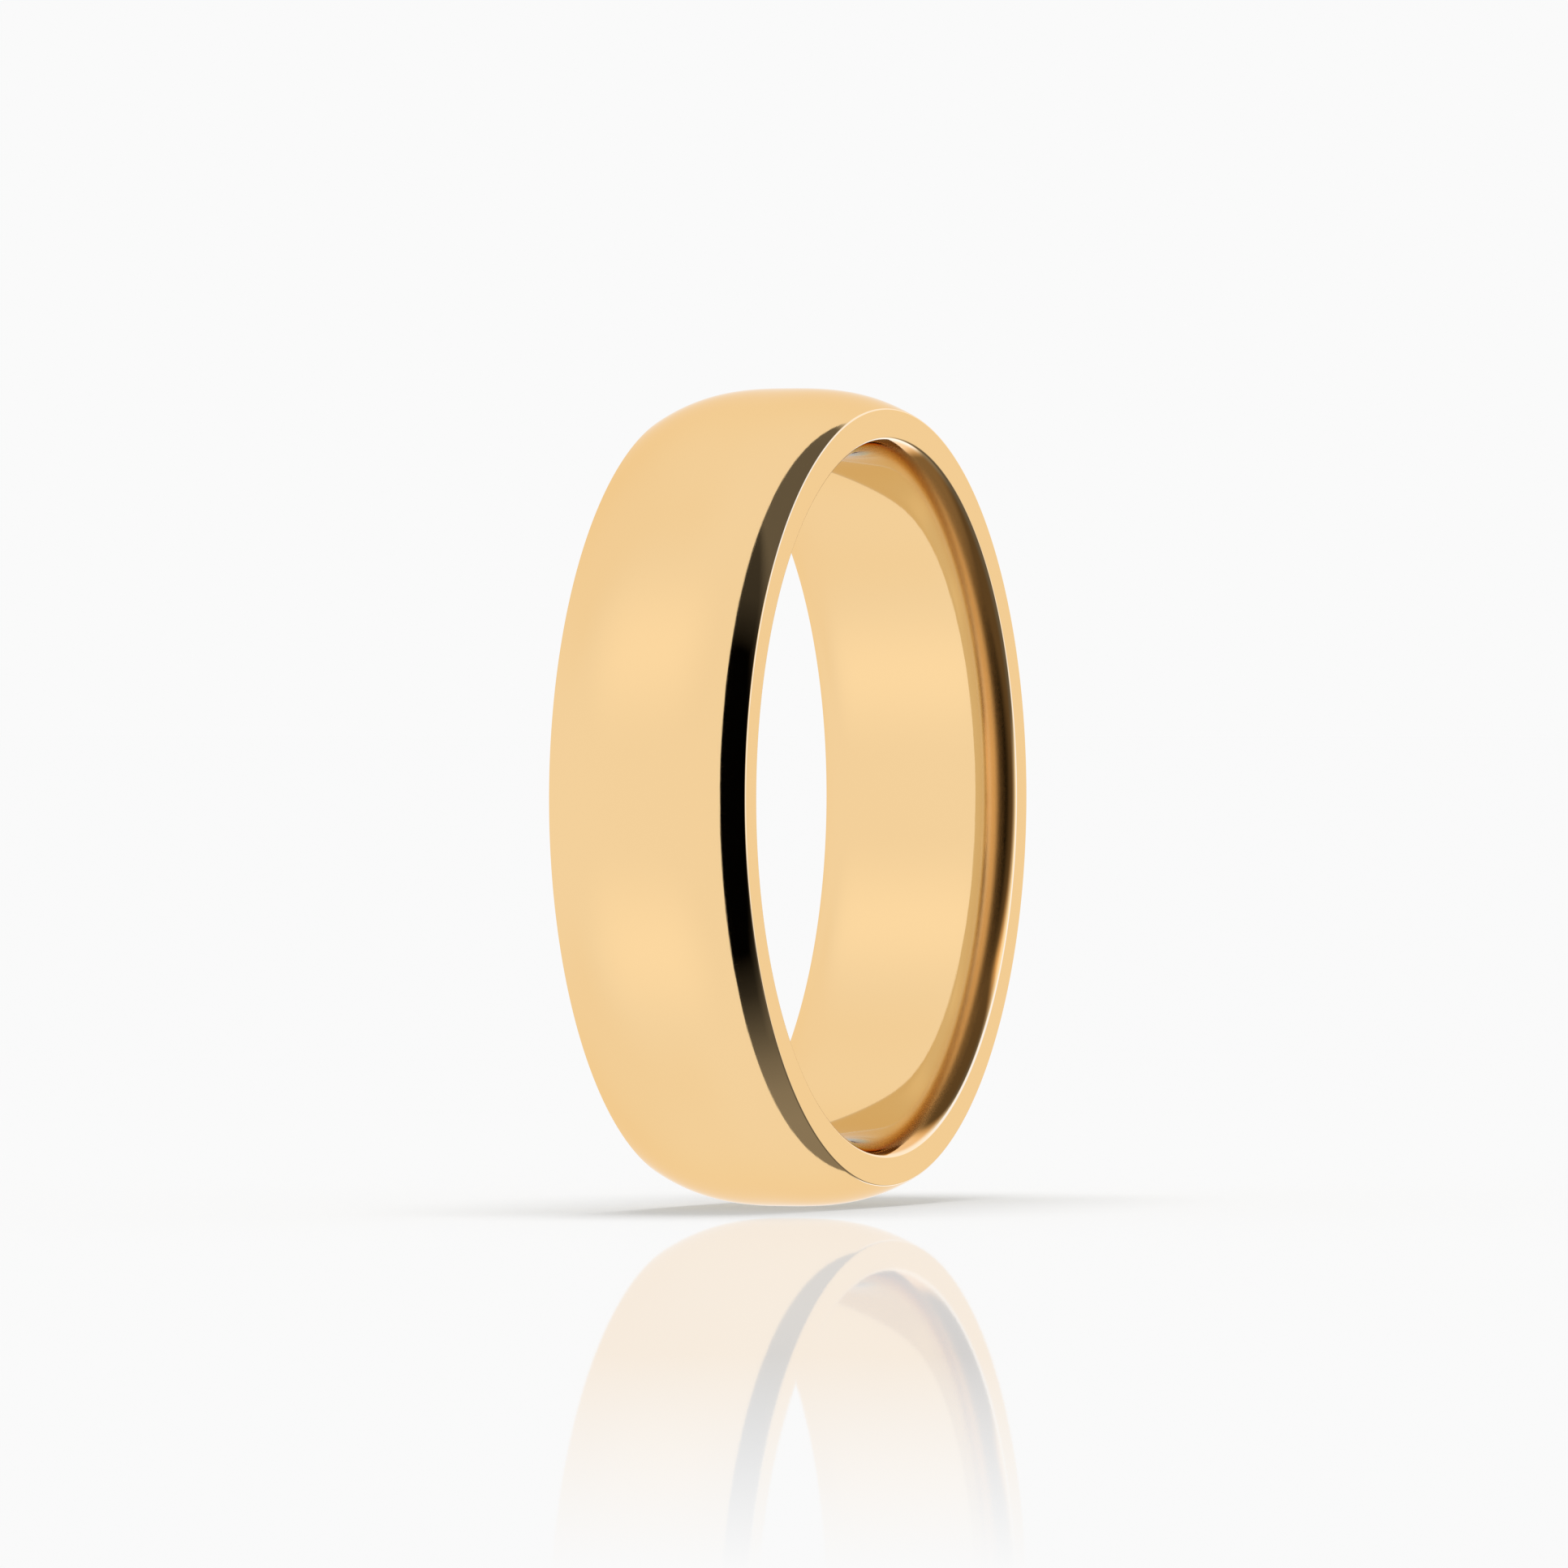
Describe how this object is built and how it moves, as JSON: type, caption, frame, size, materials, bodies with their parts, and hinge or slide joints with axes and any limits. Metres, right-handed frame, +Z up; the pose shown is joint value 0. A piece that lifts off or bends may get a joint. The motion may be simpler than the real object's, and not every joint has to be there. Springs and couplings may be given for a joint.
{
  "type": "wedding band",
  "caption": "Plain polished yellow gold court wedding band: domed outside, flat side faces and a comfort-fit finger hole with softly rounded edges.",
  "frame": {"origin": "centre of the finger hole, midway between the two side faces", "axes": "+Y along the finger, from one side face to the other; +Z up with the band standing on its rim; +X across"},
  "size_m": [0.0236, 0.006, 0.0236],
  "materials": {
    "polished_gold": "polished 18 ct yellow gold, mirror bright on the crown and in the finger hole"
  },
  "bodies": {
    "root": {"band": "polished_gold"}
  },
  "joints": []
}
